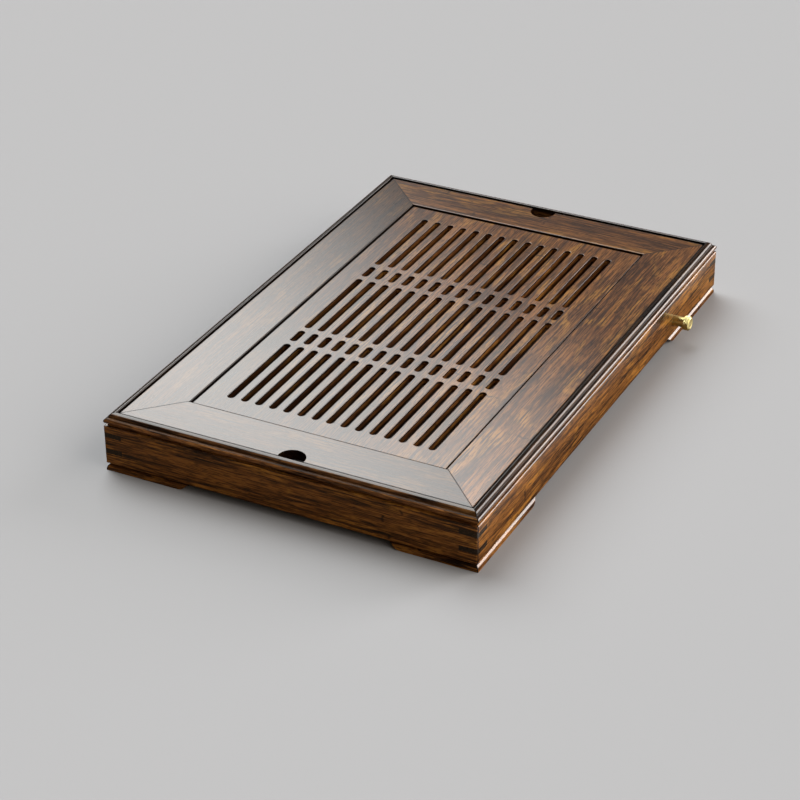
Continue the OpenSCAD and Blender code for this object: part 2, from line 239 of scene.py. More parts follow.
def grain_colour(tree, chance, layers, tones, gold):
    """The wood's colour from its layers of grain, before its node marks."""
    bands, strands, threads, pores, patches = layers
    dark, middle, light, golden = tones
    tone = maths(tree, "MULTIPLY", strands, STRAND_SHARE)
    tone = maths(tree, "MULTIPLY_ADD", bands, BAND_SHARE, tone)
    tone = maths(tree, "MULTIPLY_ADD", threads, THREAD_SHARE, tone)
    tone = maths(tree, "MULTIPLY_ADD", maths(tree, "SUBTRACT", chance, 0.5), STRIP_CONTRAST, tone)
    wood = ramp(tree, tone, ((DARK_TONE, dark), (MIDDLE_TONE, middle), (LIGHT_TONE, light)))
    share = maths(tree, "MULTIPLY", smooth_step(tree, patches, *GOLD_PATCH), gold)
    share = maths(tree, "MULTIPLY", share, smooth_step(tree, strands, *GOLD_STRAND))
    wood = blend(tree, share, wood, (*golden, 1))
    pale = smooth_step(tree, pores, *PORE_RANGE)
    specks = maths(tree, "MULTIPLY_ADD", pale, PORE_DEPTH, 1 - PORE_DEPTH)
    return blend(tree, 1.0, wood, specks, "MULTIPLY")


def lacquer_film(tree, shader, layers):
    """Roughness and relief of the wood and of the clear coat over it."""
    strands, threads, pores = layers[1:4]
    roughness = maths(tree, "MULTIPLY_ADD", strands, ROUGHNESS_SPREAD, WOOD_ROUGHNESS)
    put(tree, shader.inputs["Roughness"], roughness)
    shader.inputs["Specular IOR Level"].default_value = WOOD_SPECULAR
    grain = maths(tree, "MULTIPLY", threads, THREAD_RELIEF)
    grain = maths(tree, "MULTIPLY_ADD", pores, PORE_RELIEF, grain)
    bump = add(tree, "ShaderNodeBump", {"Height": grain, **GRAIN_BUMP})
    put(tree, shader.inputs["Normal"], bump.outputs[0])
    film = maths(tree, "MULTIPLY", pores, PORE_FILM)
    film = maths(tree, "MULTIPLY_ADD", strands, STRAND_FILM, film)
    film_bump = add(tree, "ShaderNodeBump", {"Height": film, **FILM_BUMP})
    put(tree, shader.inputs["Coat Normal"], film_bump.outputs[0])
    shader.inputs["Coat Roughness"].default_value = COAT_ROUGHNESS
    shader.inputs["Coat IOR"].default_value = COAT_IOR


def lacquered_wood(
        name, axis, tones, place=(0, 0, 0), gold=0.5, lacquer=1.0,
        outer=None, shade_bands=(), far_corner_shade=None, mitred=True):
    """Dark lacquered bamboo: strips, long streaks, short pores, node marks and a clear coat.

    axis is the grain's direction, 0 for X or 1 for Y. tones are the dark, middle, light and golden
    colours. outer gives half the length and half the width of the frame that the piece belongs to,
    for its mitres and its bands of painted shade and painted light. far_corner_shade is painted shade:
    how much of the colour is left at the far left corner, as if less light fell there.
    """
    made, tree, shader = new_material(name)
    coords = add(tree, "ShaderNodeTexCoord").outputs["Object"]
    parts = add(tree, "ShaderNodeSeparateXYZ", {0: coords}).outputs
    chance = strip_chance(tree, parts[1 - axis], parts[2])
    kinds = (BANDS, STRANDS, THREADS, PORES, PATCHES)
    layers = [stretched_noise(tree, coords, layer, axis, place) for layer in kinds]
    wood = grain_colour(tree, chance, layers, tones, gold)
    marks = bamboo_nodes(tree, coords, parts[axis], chance, axis, place)
    mark_colour = (*[NODE_SHADE * value for value in tones[0]], 1)
    wood = blend(tree, maths(tree, "MULTIPLY", marks, NODE_STRENGTH), wood, mark_colour)
    coat = lacquer
    # Painted shade: the colour darkens towards the far left corner, where less light falls
    if far_corner_shade is not None:
        sideways = maths(tree, "SUBTRACT", parts[1], MIDDLE_Y)
        across = maths(tree, "MULTIPLY", sideways, SHADE_FADE_ACROSS)
        nearness = maths(tree, "MULTIPLY_ADD", parts[0], SHADE_FADE_ALONG, across)
        nearness = smooth_step(tree, nearness, *SHADE_FADE_RANGE)
        left = maths(tree, "MULTIPLY_ADD", nearness, 1 - far_corner_shade, far_corner_shade)
        wood = blend(tree, 1.0, wood, left, "MULTIPLY")
    if outer:
        inward, joint = frame_place(tree, parts[0], parts[1], *outer)
        if mitred:
            wood = blend(tree, joint, wood, MITRE_COLOUR)
            coat = maths(tree, "MULTIPLY_ADD", joint, -MITRE_COAT_LOSS * lacquer, coat)
        # Bands of painted shade, and of painted light where the share of colour lost is below 0
        for near, far, low, high, colour_loss, coat_loss in shade_bands:
            covered = shade_band_share(tree, inward, parts[2], near, far, low, high)
            wood = blend(tree, 1.0, wood, kept_share(tree, covered, colour_loss), "MULTIPLY")
            coat = maths(tree, "MULTIPLY", coat, kept_share(tree, covered, coat_loss))
    put(tree, shader.inputs["Coat Weight"], coat)
    put(tree, shader.inputs["Base Color"], wood)
    lacquer_film(tree, shader, layers)
    return made


# Brass and rubber: wavelengths along and across the drain's axis, detail and distortion
TURNED_RINGS = (0.00030, 0.006, 2.0, 0.0)
BRASS_CLOUDS = (0.005, 0.005, 3.0, 0.0)
RUBBER_DUST = (0.0008, 0.0008, 3.0, 0.0)
RING_SHARE, CLOUD_SHARE = 0.3, 0.7
BRASS_TONES = ((0.36, (0.54, 0.46, 0.17)), (0.64, (0.78, 0.70, 0.34)))
BRASS_ROUGHNESS, BRASS_SPREAD = 0.20, 0.20
RING_BUMP = {"Strength": 0.15, "Distance": 0.00002}
RUBBER_TONES = ((0.35, (0.018, 0.018, 0.018)), (0.7, (0.045, 0.043, 0.04)))
RUBBER_ROUGHNESS = 0.7
DUST_BUMP = {"Strength": 0.3, "Distance": 0.00005}


def satin_brass():
    """Yellow brass with a turned satin surface."""
    made, tree, shader = new_material("satin_brass")
    coords = add(tree, "ShaderNodeTexCoord").outputs["Object"]
    rings = stretched_noise(tree, coords, TURNED_RINGS, 1)
    clouds = stretched_noise(tree, coords, BRASS_CLOUDS, 1, (0.3, 0, 0))
    marks = maths(tree, "MULTIPLY", clouds, CLOUD_SHARE)
    marks = maths(tree, "MULTIPLY_ADD", rings, RING_SHARE, marks)
    put(tree, shader.inputs["Base Color"], ramp(tree, marks, BRASS_TONES))
    shader.inputs["Metallic"].default_value = 1.0
    roughness = maths(tree, "MULTIPLY_ADD", clouds, BRASS_SPREAD, BRASS_ROUGHNESS)
    put(tree, shader.inputs["Roughness"], roughness)
    bump = add(tree, "ShaderNodeBump", {"Height": rings, **RING_BUMP})
    put(tree, shader.inputs["Normal"], bump.outputs[0])
    return made


def seal_rubber():
    """Black rubber with a dusty, matt surface."""
    made, tree, shader = new_material("seal_rubber")
    coords = add(tree, "ShaderNodeTexCoord").outputs["Object"]
    dust = stretched_noise(tree, coords, RUBBER_DUST, 0)
    put(tree, shader.inputs["Base Color"], ramp(tree, dust, RUBBER_TONES))
    shader.inputs["Roughness"].default_value = RUBBER_ROUGHNESS
    bump = add(tree, "ShaderNodeBump", {"Height": dust, **DUST_BUMP})
    put(tree, shader.inputs["Normal"], bump.outputs[0])
    return made


# Dark, middle, light and golden tones of each kind of board
LID_TONES = (
    (0.036, 0.0125, 0.004), (0.107, 0.040, 0.010),
    (0.225, 0.092, 0.024), (0.35, 0.165, 0.030),
)
WALL_TONES = (
    (0.016, 0.005, 0.001), (0.140, 0.050, 0.009),
    (0.340, 0.140, 0.028), (0.50, 0.22, 0.035),
)
RIM_TONES = (
    (0.016, 0.006, 0.002), (0.100, 0.040, 0.012),
    (0.220, 0.095, 0.030), (0.32, 0.15, 0.035),
)
INSIDE_TONES = (
    (0.006, 0.003, 0.0015), (0.020, 0.010, 0.005),
    (0.040, 0.020, 0.010), (0.05, 0.025, 0.01),
)
SPLINE_TONES = (
    (0.004, 0.003, 0.002), (0.014, 0.009, 0.006),
    (0.040, 0.022, 0.012), (0.06, 0.03, 0.01),
)
KEY_TONES = (
    (0.15, 0.08, 0.04), (0.28, 0.16, 0.08),
    (0.40, 0.25, 0.13), (0.45, 0.30, 0.14),
)

# Painted light and shade: how much lighter or darker the boards of the front, right, back and left are
# made, for how the light falls on each side
WALL_PAINTED_SHADES = (1.15, 1.1, 1.0, 1.15)
RIM_PAINTED_SHADES = (1.0, 1.0, 0.8, 2.0)
MEMBER_PAINTED_SHADES = (1.1, 0.9, 0.35, 0.32)

# How golden the patches of each kind of board are
WALL_GOLD, LID_GOLD, MOULDING_GOLD, KEY_GOLD, INSIDE_GOLD = 0.7, 0.6, 0.4, 0.2, 0.1

# Share of the lacquer that the inner boards have, and of the colour that the panel's far corner keeps
# under its painted shade
INSIDE_LACQUER = 0.1
PANEL_PAINTED_SHADE = 0.2

# Where boards are cut from the grain's pattern: steps from side to side, and first places
FRAME_STEP = (3.7, 5.3, 7.1)
RIM_STEP = (2.9, 4.1, 6.3)
FOOT_STEP, FOOT_PLACE = (1.9, 2.3, 0.0), (0.0, 0.0, 4.1)
PANEL_PLACE = (2.2, 9.1, 4.4)

# Bands of painted shade in gaps, recesses and grooves, and of painted light where colour is gained:
# least and greatest distance in from the frame's outer edge, lowest and highest height, and the shares
# lost of the colour (or gained, where it is below 0) and of the coat
# Painted shade: the walls' inside faces are darkened, under the lid
WALL_PAINTED_SHADE = (
    (0.0068, 1.0, 0.0, 1.0, 0.85, 0.8),  # inside face
)
# Painted shade: the rim's crest, its inner face in the gap beside the lid, its cove and the crest's
# outer shoulder are darkened
RIM_PAINTED_SHADE = (
    (0.0041, 1.0, 0.0425, 1.0, 0.88, 0.0),  # crest
    (0.0066, 1.0, 0.0425, 0.0443, 0.5, 0.9),  # inner face beside the lid
    (0.00075, 1.0, 0.0411, 0.0427, 0.7, 0.9),  # cove
    (0.0024, 0.0041, 0.0429, 0.0446, 0.55, 0.35),  # outer shoulder of the crest
)
# Painted shade: the lid members' outer edge in the gap, the finger notches and underside, and the inner
# edge round the panel are darkened
MEMBER_PAINTED_SHADE = (
    (-1.0, 0.0004, 0.0, 1.0, 0.9, 0.9),  # outer edge
    (0.0004, 0.0330, 0.0, 0.0435, 0.6, 0.8),  # finger notch and underside
    (0.0330, 1.0, 0.0, 0.0435, 0.9, 0.9),  # inner edge round the panel
)
# Painted shade at the top and foot of the slots' walls and on the underside, and painted light in the
# middle of the walls
PANEL_PAINTED_LIGHT_AND_SHADE = (
    (-1.0, 1.0, 0.0412, 0.0423, 0.85, 0.7),  # top of the slots' walls
    (-1.0, 1.0, 0.0385, 0.0412, -0.8, 0.7),  # middle of the slots' walls
    (-1.0, 1.0, 0.0, 0.0385, 0.4, 0.7),  # foot of the slots' walls and underside
)


def paint(node, material):
    """Gives a CAD node its finish."""
    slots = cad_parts[node].data.materials
    slots.clear()
    slots.append(material)


def shaded(tones, shade):
    """Tones made lighter or darker."""
    return [tuple(shade * value for value in tone) for tone in tones]


def grain_place(number, step, first=(0.0, 0.0, 0.0)):
    """Where a side's board is cut from the grain's pattern, so that no two boards look alike."""
    return tuple(number * each + start for each, start in zip(step, first))


def paint_frames():
    """Finishes the walls and the lid members, each with its grain along its own length."""
    tray = (HALF_LENGTH, HALF_WIDTH)
    lid = (LID_HALF_LENGTH, LID_HALF_WIDTH)
    kinds = (
        ("wall", WALL_TONES, WALL_PAINTED_SHADES, tray, WALL_PAINTED_SHADE, WALL_GOLD),
        ("lid_member", LID_TONES, MEMBER_PAINTED_SHADES, lid, MEMBER_PAINTED_SHADE, LID_GOLD),
    )
    for kind, tones, painted_shades, outer, shade_bands, gold in kinds:
        for number, side in enumerate(SIDES):
            place = grain_place(number, FRAME_STEP)
            own = shaded(tones, painted_shades[number])
            wood = lacquered_wood(
                f"{kind}_{side}_wood", number % 2, own, place, gold, outer=outer, shade_bands=shade_bands)
            paint(f"{kind}_{side}", wood)


# Meshes
CREASE = math.radians(28)


def link(piece):
    """Puts a piece into the scene."""
    bpy.context.scene.collection.objects.link(piece)
    return piece


def crease(mesh):
    """Parts a mesh along its sharp edges and round its flat faces, so that shading stops there."""
    shape = bmesh.new()
    shape.from_mesh(mesh)
    edges = []
    for edge in shape.edges:
        if len(edge.link_faces) == 2:
            first, second = edge.link_faces
            if first.smooth != second.smooth or edge.calc_face_angle() > CREASE:
                edges.append(edge)
    bmesh.ops.split_edges(shape, edges=edges)
    shape.to_mesh(mesh)
    shape.free()


def close_rings(shape, first, second):
    """Smooth faces between two closed rings of points."""
    for here in range(len(first)):
        after = (here + 1) % len(first)
        face = shape.faces.new((first[here], first[after], second[after], second[here]))
        face.smooth = True


def new_mesh(shape, name):
    """Ends the work on a shape and gives its mesh."""
    mesh = bpy.data.meshes.new(name)
    shape.to_mesh(mesh)
    shape.free()
    return mesh


# Mitred strips: a section swept along one side of the tray
def side_point(number, along, depth, height):
    """A place given along a side of SIDES, in from the tray's outer face, and up."""
    half = HALF_WIDTH if number % 2 == 0 else HALF_LENGTH
    turn = math.radians(90 * number)
    x = along * math.cos(turn) + (half - depth) * math.sin(turn)
    y = along * math.sin(turn) - (half - depth) * math.cos(turn)
    return x, MIDDLE_Y + y, height


def strip_piece(name, sections, material):
    """A solid strip through sections, each a list of points that run round it."""
    shape = bmesh.new()
    rings = [[shape.verts.new(point) for point in section] for section in sections]
    for first, second in zip(rings, rings[1:]):
        close_rings(shape, first, second)
    shape.faces.new(rings[0])
    shape.faces.new(rings[-1][::-1])
    bmesh.ops.recalc_face_normals(shape, faces=shape.faces)
    mesh = new_mesh(shape, name)
    crease(mesh)
    mesh.materials.append(material)
    return link(bpy.data.objects.new(name, mesh))


# Rim: a crowned crest, a cove and a bead, in millimetres in from the outer face and up from the floor
CREST = (
    (7.0, 44.3), (6.92, 44.6), (6.7, 44.83), (6.35, 44.96), (6.0, 45.0), (5.2, 44.8), (4.4, 44.55),
    (3.8, 44.3), (3.45, 44.02), (3.15, 43.66), (2.95, 43.25), (2.87, 42.85), (2.85, 42.4), (2.75, 42.0),
    (2.55, 41.75), (2.2, 41.6),
)
BEAD_RADIUS = 2.0
BEAD_HEIGHT = 39.6
BEAD_STEPS = 14
BEAD_START, BEAD_SWEEP = 84, 150
GROOVE = ((2.2, 37.6), (2.2, 36.2), (7.0, 36.2))
MM = 1000


def rim_section():
    """Points round the moulding's section, as (metres in, metres up)."""
    section = list(CREST)
    for step in range(BEAD_STEPS + 1):
        turn = math.radians(BEAD_START - BEAD_SWEEP * step / BEAD_STEPS)
        depth = BEAD_RADIUS * (1 - math.cos(turn))
        section.append((depth, BEAD_HEIGHT + BEAD_RADIUS * math.sin(turn)))
    section += GROOVE
    return [(depth / MM, height / MM) for depth, height in section]


def make_rims():
    """The four mitred mouldings round the lid."""
    section = rim_section()
    outer = (HALF_LENGTH, HALF_WIDTH)
    for number, side in enumerate(SIDES):
        reach = HALF_LENGTH if number % 2 == 0 else HALF_WIDTH
        ends = []
        for end in (-1, 1):
            points = [side_point(number, end * (reach - depth), depth, up) for depth, up in section]
            ends.append(points)
        place = grain_place(number, RIM_STEP)
        tones = shaded(RIM_TONES, RIM_PAINTED_SHADES[number])
        wood = lacquered_wood(
            f"rim_{side}_wood", number % 2, tones, place, MOULDING_GOLD, outer=outer, shade_bands=RIM_PAINTED_SHADE)
        piece = strip_piece(f"moulded_rim_{side}", ends, wood)
        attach(piece, "root")
        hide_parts(f"rim_{side}")


# Slotted panel: Geometry Nodes set out a cell round each slot, and the border goes round them all
SLOT_COLUMNS = 15
SLOT_WIDTH = 0.0052
SLOT_WEB = 0.0054
SHORT_SLOT = 0.0164
SLOT_EDGE = 0.0004
SLOT_SIDE_MARGIN = 0.021
SLOT_END_MARGIN = 0.0185
PANEL_HALF_LENGTH = 0.1724
PANEL_HALF_WIDTH = 0.0984
REVEAL = 0.0014
TONGUE_TOP = 0.0018
TONGUE_THICKNESS = 0.0026
EDGE_STEPS = 4
END_STEPS = 10
WELD = 0.00002

open_length = 2 * (PANEL_HALF_LENGTH + REVEAL)
open_width = 2 * (PANEL_HALF_WIDTH + REVEAL)
panel_thickness = panel_high.z - panel_low.z
slot_pitch = (open_width - 2 * SLOT_SIDE_MARGIN) / (SLOT_COLUMNS - 1)
slots_span = open_length - 2 * SLOT_END_MARGIN
long_slot = (slots_span - 2 * SHORT_SLOT - 4 * SLOT_WEB) / 3
row_step = long_slot + SHORT_SLOT + 2 * SLOT_WEB


def edge_rows(radius, thickness):
    """Rows of a board's edge from its top to its bottom face: distance outward, and height."""
    rows = []
    for step in range(EDGE_STEPS + 1):
        turn = math.pi / 2 * step / EDGE_STEPS
        rows.append((radius * (1 - math.sin(turn)), -radius * (1 - math.cos(turn))))
    return rows + [(side, -thickness - height) for side, height in reversed(rows)]


def slot_cell(name, cell_length, slot_length):
    """One rectangular cell of the panel with its round-ended slot, centred, its top at Z = 0."""
    shape = bmesh.new()
    reach = (slot_length - SLOT_WIDTH) / 2
    signs = ((1, -1), (1, 1), (-1, 1), (-1, -1))
    corners = [(x * cell_length / 2, y * slot_pitch / 2) for x, y in signs]
    rings = []
    for outward, height in edge_rows(SLOT_EDGE, panel_thickness):
        radius = SLOT_WIDTH / 2 + outward
        ring = []
        for end in (1, -1):
            for step in range(END_STEPS + 1):
                turn = math.pi * (step / END_STEPS - 0.5)
                x, y = reach + radius * math.cos(turn), radius * math.sin(turn)
                ring.append(shape.verts.new((end * x, end * y, height)))
        rings.append(ring)
    for upper, lower in zip(rings, rings[1:]):
        close_rings(shape, upper, lower)
    for ring, height, under in ((rings[0], 0.0, False), (rings[-1], -panel_thickness, True)):
        points = [shape.verts.new((x, y, height)) for x, y in corners]
        first_end, second_end = ring[:END_STEPS + 1], ring[END_STEPS + 1:]
        loops = [
            [points[0], points[1]] + first_end[::-1],
            [points[1], points[2], second_end[0], first_end[-1]],
            [points[2], points[3]] + second_end[::-1],
            [points[3], points[0], first_end[0], second_end[-1]],
        ]
        for loop in loops:
            shape.faces.new(loop[::-1] if under else loop)
    return bpy.data.objects.new(name, new_mesh(shape, name))


def cell_borders():
    """Places of the lines between the cells along X and along Y."""
    lengths = (long_slot, SHORT_SLOT, long_slot, SHORT_SLOT, long_slot)
    place = -slots_span / 2 - SLOT_WEB / 2
    along = [place]
    for length in lengths:
        place += length + SLOT_WEB
        along.append(place)
    across = [slot_pitch * (number - SLOT_COLUMNS / 2) for number in range(SLOT_COLUMNS + 1)]
    return along, across


def walk_round(last_x, last_y):
    """Columns and rows of the points round a grid's outline, counterclockwise from its first corner."""
    walk = [(column, 0) for column in range(last_x)]
    walk += [(last_x, row) for row in range(last_y)]
    walk += [(column, last_y) for column in range(last_x, 0, -1)]
    walk += [(0, row) for row in range(last_y, 0, -1)]
    return walk


def panel_section():
    """Rows of the panel's outer edge from top to bottom, its tongue between its two rounded edges."""
    edge = edge_rows(SLOT_EDGE, panel_thickness)
    tongue_edge = panel_high.x - PANEL_HALF_LENGTH
    tongue_low = -TONGUE_TOP - TONGUE_THICKNESS
    tongue = [(0.0, -TONGUE_TOP), (-tongue_edge, -TONGUE_TOP)]
    tongue += [(-tongue_edge, tongue_low), (0.0, tongue_low)]
    return edge[:EDGE_STEPS + 1] + tongue + edge[EDGE_STEPS + 1:]


def border_faces(shape, lines_x, lines_y, ring, height, under):
    """Flat faces between the panel's edge and its cells, on the top or on the underside."""
    last_x, last_y = len(lines_x) - 1, len(lines_y) - 1
    for column in range(last_x):
        for row in range(last_y):
            if 0 < column < last_x - 1 and 0 < row < last_y - 1:
                continue
            loop = []
            for right, back in ((0, 0), (1, 0), (1, 1), (0, 1)):
                corner = (column + right, row + back)
                if corner not in ring:
                    x, y = lines_x[column + right], lines_y[row + back]
                    ring[corner] = shape.verts.new((x, MIDDLE_Y + y, panel_high.z + height))
                loop.append(ring[corner])
            shape.faces.new(loop[::-1] if under else loop)


def panel_border(name):
    """The panel's plain border round the slots, with its rounded edge and its tongue, in place."""
    shape = bmesh.new()
    along, across = cell_borders()
    inner_x, inner_y = PANEL_HALF_LENGTH - SLOT_EDGE, PANEL_HALF_WIDTH - SLOT_EDGE
    lines_x = [-inner_x] + along + [inner_x]
    lines_y = [-inner_y] + across + [inner_y]
    last_x, last_y = len(lines_x) - 1, len(lines_y) - 1
    walk = walk_round(last_x, last_y)
    rings = []
    for inward, height in panel_section():
        ring = {}
        for column, row in walk:
            x, y = lines_x[column], lines_y[row]
            if column in (0, last_x):
                x += math.copysign(SLOT_EDGE - inward, x)
            if row in (0, last_y):
                y += math.copysign(SLOT_EDGE - inward, y)
            ring[(column, row)] = shape.verts.new((x, MIDDLE_Y + y, panel_high.z + height))
        rings.append(ring)
    last_smooth = len(rings) - 2 - EDGE_STEPS
    for number, (upper, lower) in enumerate(zip(rings, rings[1:])):
        for here, after in zip(walk, walk[1:] + walk[:1]):
            face = shape.faces.new((upper[here], lower[here], lower[after], upper[after]))
            face.smooth = number < EDGE_STEPS or number > last_smooth
    border_faces(shape, lines_x, lines_y, rings[0], 0.0, False)
    border_faces(shape, lines_x, lines_y, rings[-1], -panel_thickness, True)
    return new_mesh(shape, name)


# Geometry Nodes
def new_group(name, inputs):
    """An empty Geometry Nodes tree with its own inputs, given as (name, kind)."""
    tree = bpy.data.node_groups.new(name, "GeometryNodeTree")
    tree.interface.new_socket("Geometry", in_out="INPUT", socket_type="NodeSocketGeometry")
    for label, kind in inputs:
        tree.interface.new_socket(label, in_out="INPUT", socket_type=kind)
    tree.interface.new_socket("Geometry", in_out="OUTPUT", socket_type="NodeSocketGeometry")
    start = tree.nodes.new("NodeGroupInput")
    end = tree.nodes.new("NodeGroupOutput")
    return tree, start, end


def settle(piece, tree, values):
    """Runs a Geometry Nodes tree on a piece and keeps the mesh that it makes."""
    step = piece.modifiers.new("nodes", "NODES")
    step.node_group = tree
    for item in tree.interface.items_tree:
        if item.item_type == "SOCKET" and item.in_out == "INPUT" and item.name in values:
            step[item.identifier] = values[item.name]
    bpy.context.view_layer.update()
    seen = piece.evaluated_get(bpy.context.evaluated_depsgraph_get())
    mesh = bpy.data.meshes.new_from_object(seen)
    piece.modifiers.clear()
    piece.data = mesh
    crease(mesh)


def end_group(tree, start, end, added, weld=None):
    """Joins what a tree makes to the piece's own mesh, as real faces, and gives them their finish."""
    join = add(tree, "GeometryNodeJoinGeometry")
    for part in (start.outputs["Geometry"], *added):
        tree.links.new(part, join.inputs[0])
    shape = add(tree, "GeometryNodeRealizeInstances", {"Geometry": join.outputs[0]})
    if weld:
        meeting = {"Geometry": shape.outputs[0], "Distance": weld}
        shape = add(tree, "GeometryNodeMergeByDistance", meeting)
    finish = {"Geometry": shape.outputs[0], "Material": start.outputs["Finish"]}
    finished = add(tree, "GeometryNodeSetMaterial", finish)
    tree.links.new(finished.outputs[0], end.inputs[0])


def slotted_panel(material):
    """The panel, its cells set out by Geometry Nodes in rows of long and short slots."""
    inputs = [("Long", "NodeSocketObject"), ("Short", "NodeSocketObject")]
    inputs += [("Finish", "NodeSocketMaterial")]
    tree, start, end = new_group("slot_rows", inputs)
    size_y = (SLOT_COLUMNS - 1) * slot_pitch
    centre = (0.0, MIDDLE_Y, panel_high.z)
    added = []
    for label, spread, rows in (("Long", 2 * row_step, 3), ("Short", row_step, 2)):
        sizes = {"Size X": spread, "Size Y": size_y, "Vertices X": rows, "Vertices Y": SLOT_COLUMNS}
        grid = add(tree, "GeometryNodeMeshGrid", sizes)
        placing = {"Geometry": grid.outputs["Mesh"], "Translation": centre}
        moved = add(tree, "GeometryNodeTransform", placing)
        cell = add(tree, "GeometryNodeObjectInfo", {"Object": start.outputs[label]})
        set_out = {"Points": moved.outputs[0], "Instance": cell.outputs["Geometry"]}
        added.append(add(tree, "GeometryNodeInstanceOnPoints", set_out).outputs[0])
    end_group(tree, start, end, added, WELD)
    long_cell = link(slot_cell("long_cell", long_slot + SLOT_WEB, long_slot))
    short_cell = link(slot_cell("short_cell", SHORT_SLOT + SLOT_WEB, SHORT_SLOT))
    piece = link(bpy.data.objects.new("slotted_panel", panel_border("slotted_panel")))
    settle(piece, tree, {"Long": long_cell, "Short": short_cell, "Finish": material})
    for cell in (long_cell, short_cell):
        bpy.data.objects.remove(cell)
    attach(piece, "lid")
    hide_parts("lid_panel")


# Feet: strips with a fully rounded face, mitred at the corner, each ending in an S-curve
FOOT_DEPTH = 0.014
FOOT_ROUND = 0.0049
FOOT_LENGTHS = {"front": 0.098, "back": 0.098, "left": 0.069, "right": 0.069}
OGEE_LENGTH = 0.012
FOOT_TIP = 0.0006
FACE_STEPS = 10
OGEE_STEPS = 16


def ogee_height(place, length):
    """Height of a foot's underside at a distance from its corner."""
    rise = FOOT_HEIGHT - FOOT_TIP
    radius = (OGEE_LENGTH ** 2 + rise ** 2) / (4 * rise)
    past = place - (length - OGEE_LENGTH)
    if past <= 0:
        return 0.0
    if past <= OGEE_LENGTH / 2:
        return radius - math.sqrt(radius ** 2 - past ** 2)
    return rise - radius + math.sqrt(radius ** 2 - (length - place) ** 2)


def foot_face(under):
    """Points down a foot's rounded face, as (distance behind the wall's face, height)."""
    start = FOOT_HEIGHT - FOOT_ROUND
    lowest = math.asin(max(under - start, 0.0) / FOOT_ROUND)
    points = []
    for step in range(FACE_STEPS + 1):
        turn = math.pi / 2 + (lowest - math.pi / 2) * step / FACE_STEPS
        points.append((FOOT_ROUND * (1 - math.cos(turn)), start + FOOT_ROUND * math.sin(turn)))
    points[-1] = (points[-1][0], under)
    return points


def foot_strip(side, end, material):
    """One foot of a side, from its mitre at the corner on the side of end."""
    number = SIDES.index(side)
    length = FOOT_LENGTHS[side]
    reach = HALF_LENGTH if number % 2 == 0 else HALF_WIDTH
    places = [None, FOOT_DEPTH, (FOOT_DEPTH + length - OGEE_LENGTH) / 2]
    places += [length - OGEE_LENGTH + OGEE_LENGTH * step / OGEE_STEPS for step in range(OGEE_STEPS + 1)]
    flip = 1 if end == ("right", "back", "left", "front")[number] else -1
    sections = []
    for place in places:
        under = ogee_height(place or 0.0, length)
        section = [(FOOT_DEPTH, FOOT_HEIGHT)] + foot_face(under) + [(FOOT_DEPTH, under)]
        points = []
        for depth, height in section:
            from_corner = depth if place is None else place
            points.append(side_point(number, flip * (reach - from_corner), depth, height))
        sections.append(points)
    piece = strip_piece(f"rounded_foot_{side}_{end}", sections, material)
    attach(piece, "root")
    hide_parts(f"foot_{side}_{end}")


def make_feet():
    """Two feet on each side."""
    for number, side in enumerate(SIDES):
        place = grain_place(number, FOOT_STEP, FOOT_PLACE)
        tones = shaded(WALL_TONES, WALL_PAINTED_SHADES[number])
        outer = (HALF_LENGTH, HALF_WIDTH)
        wood = lacquered_wood(
            f"foot_{side}_wood", number % 2, tones, place, MOULDING_GOLD, outer=outer)
        for end in ("left", "right") if number % 2 == 0 else ("front", "back"):
            foot_strip(side, end, wood)


# Drain: a turned cap with straight ridges, and a spigot with a real thread
DRAIN = Vector(((cap_low.x + cap_high.x) / 2, 0, (cap_low.z + cap_high.z) / 2))
TURN_STEPS = 64
RIDGES = 40
RIDGE_RADIUS = 0.00036
RIDGE_LENGTH = 0.0036
CAP_BODY = 0.00515
CAP_OUTER = 0.0055
CAP_BORE = 0.00355
SPIGOT_BORE = 0.0025
FLANGE_OUTER = 0.006
FLANGE_THICKNESS = 0.0015
NECK_OUTER = 0.004
THREAD_ROOT = 0.0031
THREAD_CREST = 0.0035
THREAD_PITCH = 0.001

# Steps of the cap's end face, from its side inward: how far inside the body's radius, and how deep
CAP_FACE = (
    (0.0, 0.0009), (0.0004, 0.0004), (0.0009, 0.0001),
    (0.0013, 0.0), (0.0017, 0.0001), (0.0019, 0.0003),
)
CAP_FACE_DEPTH = 0.00035
CAP_END = 0.001
CAP_CHAMFER = 0.0003
RIDGE_SIDES = 8
RIDGE_SHIFT = 0.0002
AXIS_RADIUS = 0.00001
FLANGE_CHAMFER = 0.0002
NECK_CHAMFER = 0.0003
NECK_CLEARANCE = 0.00005
THREAD_CHAMFER = (0.0002, 0.0003)
THREAD_ENDS = 0.0009
THREAD_SINK = 0.00006
THREAD_SIZE = 0.00026
THREAD_STEPS = 40
ALONG_DRAIN = (math.pi / 2, 0, 0)


def turned(name, outline):
    """A piece turned on the drain's axis from (radius, Y) points that run round its section."""
    shape = bmesh.new()
    rings = []
    for radius, y in outline:
        ring = []
        for step in range(TURN_STEPS):
            turn = 2 * math.pi * step / TURN_STEPS
            point = (DRAIN.x + radius * math.cos(turn), y, DRAIN.z + radius * math.sin(turn))
            ring.append(shape.verts.new(point))
        rings.append(ring)
    for first, second in zip(rings, rings[1:] + rings[:1]):
        close_rings(shape, first, second)
    bmesh.ops.recalc_face_normals(shape, faces=shape.faces)
    return link(bpy.data.objects.new(name, new_mesh(shape, name)))


